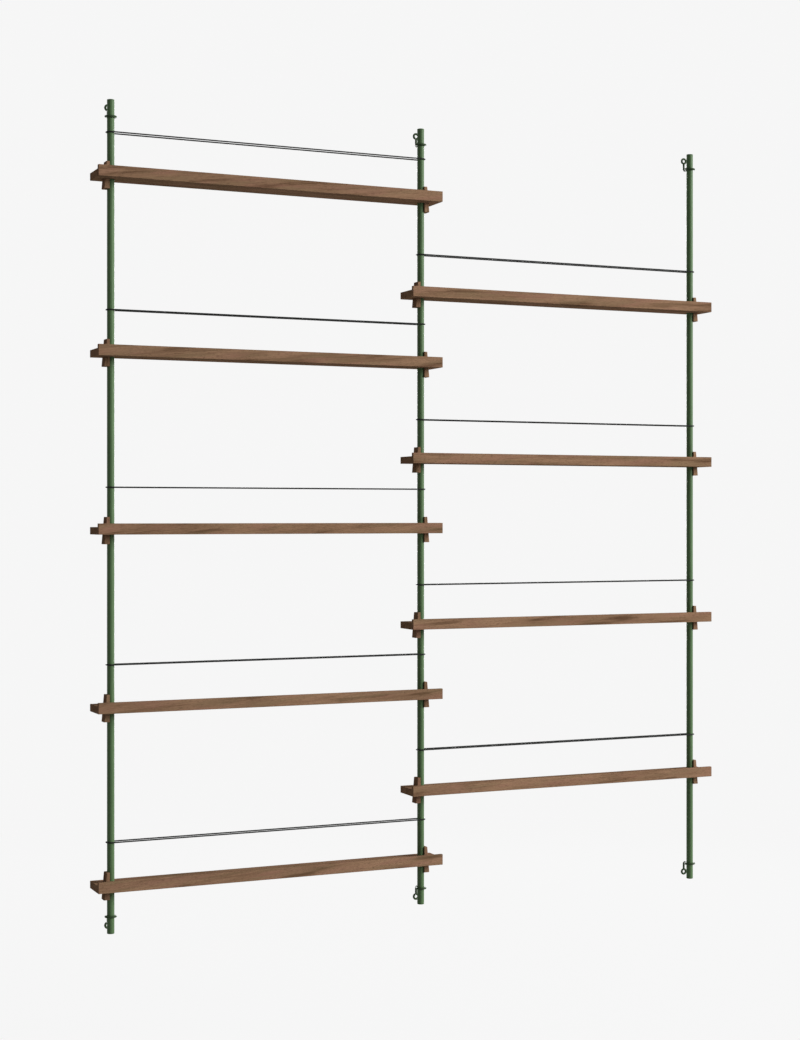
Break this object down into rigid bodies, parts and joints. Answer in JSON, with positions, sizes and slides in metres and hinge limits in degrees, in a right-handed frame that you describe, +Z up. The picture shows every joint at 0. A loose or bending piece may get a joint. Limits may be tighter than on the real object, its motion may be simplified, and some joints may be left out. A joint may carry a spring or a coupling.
{
  "type": "wall magazine shelf",
  "caption": "Wall-hung magazine shelf in two staggered bays: round legs on wire eyes, narrow lipped boards jammed by tapered wedges, and a wire loop over each board.",
  "frame": {"origin": "centre of the middle leg's top eye, on the wall", "axes": "+X right along the wall as seen from the room, +Y into the wall, +Z up along the legs"},
  "size_m": [1.5484, 0.0725, 1.8],
  "materials": {
    "leg_paint": "satin green powder coat",
    "plug_paint": "matt green plastic, matched to the legs",
    "black_wire": "satin black coat on bent steel wire",
    "oak": "dark smoked oak with a matt oil"
  },
  "bodies": {
    "legs": {"left_leg": "leg_paint", "left_leg_top_plug": "plug_paint", "left_leg_bottom_plug": "plug_paint", "middle_leg": "leg_paint", "middle_leg_top_plug": "plug_paint", "middle_leg_bottom_plug": "plug_paint", "right_leg": "leg_paint", "right_leg_top_plug": "plug_paint", "right_leg_bottom_plug": "plug_paint", "left_top_wall_eye": "black_wire", "left_bottom_wall_eye": "black_wire", "middle_top_wall_eye": "black_wire", "middle_bottom_wall_eye": "black_wire", "right_top_wall_eye": "black_wire", "right_bottom_wall_eye": "black_wire"},
    "left_bay_1_shelf": {"left_bay_1_board": "oak", "left_bay_1_lip": "oak"},
    "left_bay_1_left_wedge": {"left_bay_1_left_wedge": "oak"},
    "left_bay_1_right_wedge": {"left_bay_1_right_wedge": "oak"},
    "left_bay_1_wire": {"left_bay_1_wire": "black_wire"},
    "left_bay_2_shelf": {"left_bay_2_board": "oak", "left_bay_2_lip": "oak"},
    "left_bay_2_left_wedge": {"left_bay_2_left_wedge": "oak"},
    "left_bay_2_right_wedge": {"left_bay_2_right_wedge": "oak"},
    "left_bay_2_wire": {"left_bay_2_wire": "black_wire"},
    "left_bay_3_shelf": {"left_bay_3_board": "oak", "left_bay_3_lip": "oak"},
    "left_bay_3_left_wedge": {"left_bay_3_left_wedge": "oak"},
    "left_bay_3_right_wedge": {"left_bay_3_right_wedge": "oak"},
    "left_bay_3_wire": {"left_bay_3_wire": "black_wire"},
    "left_bay_4_shelf": {"left_bay_4_board": "oak", "left_bay_4_lip": "oak"},
    "left_bay_4_left_wedge": {"left_bay_4_left_wedge": "oak"},
    "left_bay_4_right_wedge": {"left_bay_4_right_wedge": "oak"},
    "left_bay_4_wire": {"left_bay_4_wire": "black_wire"},
    "left_bay_5_shelf": {"left_bay_5_board": "oak", "left_bay_5_lip": "oak"},
    "left_bay_5_left_wedge": {"left_bay_5_left_wedge": "oak"},
    "left_bay_5_right_wedge": {"left_bay_5_right_wedge": "oak"},
    "left_bay_5_wire": {"left_bay_5_wire": "black_wire"},
    "right_bay_1_shelf": {"right_bay_1_board": "oak", "right_bay_1_lip": "oak"},
    "right_bay_1_left_wedge": {"right_bay_1_left_wedge": "oak"},
    "right_bay_1_right_wedge": {"right_bay_1_right_wedge": "oak"},
    "right_bay_1_wire": {"right_bay_1_wire": "black_wire"},
    "right_bay_2_shelf": {"right_bay_2_board": "oak", "right_bay_2_lip": "oak"},
    "right_bay_2_left_wedge": {"right_bay_2_left_wedge": "oak"},
    "right_bay_2_right_wedge": {"right_bay_2_right_wedge": "oak"},
    "right_bay_2_wire": {"right_bay_2_wire": "black_wire"},
    "right_bay_3_shelf": {"right_bay_3_board": "oak", "right_bay_3_lip": "oak"},
    "right_bay_3_left_wedge": {"right_bay_3_left_wedge": "oak"},
    "right_bay_3_right_wedge": {"right_bay_3_right_wedge": "oak"},
    "right_bay_3_wire": {"right_bay_3_wire": "black_wire"},
    "right_bay_4_shelf": {"right_bay_4_board": "oak", "right_bay_4_lip": "oak"},
    "right_bay_4_left_wedge": {"right_bay_4_left_wedge": "oak"},
    "right_bay_4_right_wedge": {"right_bay_4_right_wedge": "oak"},
    "right_bay_4_wire": {"right_bay_4_wire": "black_wire"}
  },
  "joints": [
    {"name": "left_bay_1_shelf_height", "type": "slide", "parent": "legs", "child": "left_bay_1_shelf", "axis": [0, 0, 1], "range_m": [-0.01, 0.025]},
    {"name": "left_bay_1_left_wedge_drive", "type": "slide", "parent": "left_bay_1_shelf", "child": "left_bay_1_left_wedge", "axis": [0, 0, 1], "range_m": [-0.015, 0]},
    {"name": "left_bay_1_right_wedge_drive", "type": "slide", "parent": "left_bay_1_shelf", "child": "left_bay_1_right_wedge", "axis": [0, 0, 1], "range_m": [-0.015, 0]},
    {"name": "left_bay_1_wire_height", "type": "slide", "parent": "legs", "child": "left_bay_1_wire", "axis": [0, 0, 1], "range_m": [-0.025, 0.008]},
    {"name": "left_bay_2_shelf_height", "type": "slide", "parent": "legs", "child": "left_bay_2_shelf", "axis": [0, 0, 1], "range_m": [-0.01, 0.025]},
    {"name": "left_bay_2_left_wedge_drive", "type": "slide", "parent": "left_bay_2_shelf", "child": "left_bay_2_left_wedge", "axis": [0, 0, 1], "range_m": [-0.015, 0]},
    {"name": "left_bay_2_right_wedge_drive", "type": "slide", "parent": "left_bay_2_shelf", "child": "left_bay_2_right_wedge", "axis": [0, 0, 1], "range_m": [-0.015, 0]},
    {"name": "left_bay_2_wire_height", "type": "slide", "parent": "legs", "child": "left_bay_2_wire", "axis": [0, 0, 1], "range_m": [-0.025, 0.008]},
    {"name": "left_bay_3_shelf_height", "type": "slide", "parent": "legs", "child": "left_bay_3_shelf", "axis": [0, 0, 1], "range_m": [-0.01, 0.025]},
    {"name": "left_bay_3_left_wedge_drive", "type": "slide", "parent": "left_bay_3_shelf", "child": "left_bay_3_left_wedge", "axis": [0, 0, 1], "range_m": [-0.015, 0]},
    {"name": "left_bay_3_right_wedge_drive", "type": "slide", "parent": "left_bay_3_shelf", "child": "left_bay_3_right_wedge", "axis": [0, 0, 1], "range_m": [-0.015, 0]},
    {"name": "left_bay_3_wire_height", "type": "slide", "parent": "legs", "child": "left_bay_3_wire", "axis": [0, 0, 1], "range_m": [-0.025, 0.008]},
    {"name": "left_bay_4_shelf_height", "type": "slide", "parent": "legs", "child": "left_bay_4_shelf", "axis": [0, 0, 1], "range_m": [-0.01, 0.025]},
    {"name": "left_bay_4_left_wedge_drive", "type": "slide", "parent": "left_bay_4_shelf", "child": "left_bay_4_left_wedge", "axis": [0, 0, 1], "range_m": [-0.015, 0]},
    {"name": "left_bay_4_right_wedge_drive", "type": "slide", "parent": "left_bay_4_shelf", "child": "left_bay_4_right_wedge", "axis": [0, 0, 1], "range_m": [-0.015, 0]},
    {"name": "left_bay_4_wire_height", "type": "slide", "parent": "legs", "child": "left_bay_4_wire", "axis": [0, 0, 1], "range_m": [-0.025, 0.008]},
    {"name": "left_bay_5_shelf_height", "type": "slide", "parent": "legs", "child": "left_bay_5_shelf", "axis": [0, 0, 1], "range_m": [-0.01, 0.025]},
    {"name": "left_bay_5_left_wedge_drive", "type": "slide", "parent": "left_bay_5_shelf", "child": "left_bay_5_left_wedge", "axis": [0, 0, 1], "range_m": [-0.015, 0]},
    {"name": "left_bay_5_right_wedge_drive", "type": "slide", "parent": "left_bay_5_shelf", "child": "left_bay_5_right_wedge", "axis": [0, 0, 1], "range_m": [-0.015, 0]},
    {"name": "left_bay_5_wire_height", "type": "slide", "parent": "legs", "child": "left_bay_5_wire", "axis": [0, 0, 1], "range_m": [-0.025, 0.008]},
    {"name": "right_bay_1_shelf_height", "type": "slide", "parent": "legs", "child": "right_bay_1_shelf", "axis": [0, 0, 1], "range_m": [-0.01, 0.025]},
    {"name": "right_bay_1_left_wedge_drive", "type": "slide", "parent": "right_bay_1_shelf", "child": "right_bay_1_left_wedge", "axis": [0, 0, 1], "range_m": [-0.015, 0]},
    {"name": "right_bay_1_right_wedge_drive", "type": "slide", "parent": "right_bay_1_shelf", "child": "right_bay_1_right_wedge", "axis": [0, 0, 1], "range_m": [-0.015, 0]},
    {"name": "right_bay_1_wire_height", "type": "slide", "parent": "legs", "child": "right_bay_1_wire", "axis": [0, 0, 1], "range_m": [-0.025, 0.008]},
    {"name": "right_bay_2_shelf_height", "type": "slide", "parent": "legs", "child": "right_bay_2_shelf", "axis": [0, 0, 1], "range_m": [-0.01, 0.025]},
    {"name": "right_bay_2_left_wedge_drive", "type": "slide", "parent": "right_bay_2_shelf", "child": "right_bay_2_left_wedge", "axis": [0, 0, 1], "range_m": [-0.015, 0]},
    {"name": "right_bay_2_right_wedge_drive", "type": "slide", "parent": "right_bay_2_shelf", "child": "right_bay_2_right_wedge", "axis": [0, 0, 1], "range_m": [-0.015, 0]},
    {"name": "right_bay_2_wire_height", "type": "slide", "parent": "legs", "child": "right_bay_2_wire", "axis": [0, 0, 1], "range_m": [-0.025, 0.008]},
    {"name": "right_bay_3_shelf_height", "type": "slide", "parent": "legs", "child": "right_bay_3_shelf", "axis": [0, 0, 1], "range_m": [-0.01, 0.025]},
    {"name": "right_bay_3_left_wedge_drive", "type": "slide", "parent": "right_bay_3_shelf", "child": "right_bay_3_left_wedge", "axis": [0, 0, 1], "range_m": [-0.015, 0]},
    {"name": "right_bay_3_right_wedge_drive", "type": "slide", "parent": "right_bay_3_shelf", "child": "right_bay_3_right_wedge", "axis": [0, 0, 1], "range_m": [-0.015, 0]},
    {"name": "right_bay_3_wire_height", "type": "slide", "parent": "legs", "child": "right_bay_3_wire", "axis": [0, 0, 1], "range_m": [-0.025, 0.008]},
    {"name": "right_bay_4_shelf_height", "type": "slide", "parent": "legs", "child": "right_bay_4_shelf", "axis": [0, 0, 1], "range_m": [-0.01, 0.025]},
    {"name": "right_bay_4_left_wedge_drive", "type": "slide", "parent": "right_bay_4_shelf", "child": "right_bay_4_left_wedge", "axis": [0, 0, 1], "range_m": [-0.015, 0]},
    {"name": "right_bay_4_right_wedge_drive", "type": "slide", "parent": "right_bay_4_shelf", "child": "right_bay_4_right_wedge", "axis": [0, 0, 1], "range_m": [-0.015, 0]},
    {"name": "right_bay_4_wire_height", "type": "slide", "parent": "legs", "child": "right_bay_4_wire", "axis": [0, 0, 1], "range_m": [-0.025, 0.008]}
  ]
}
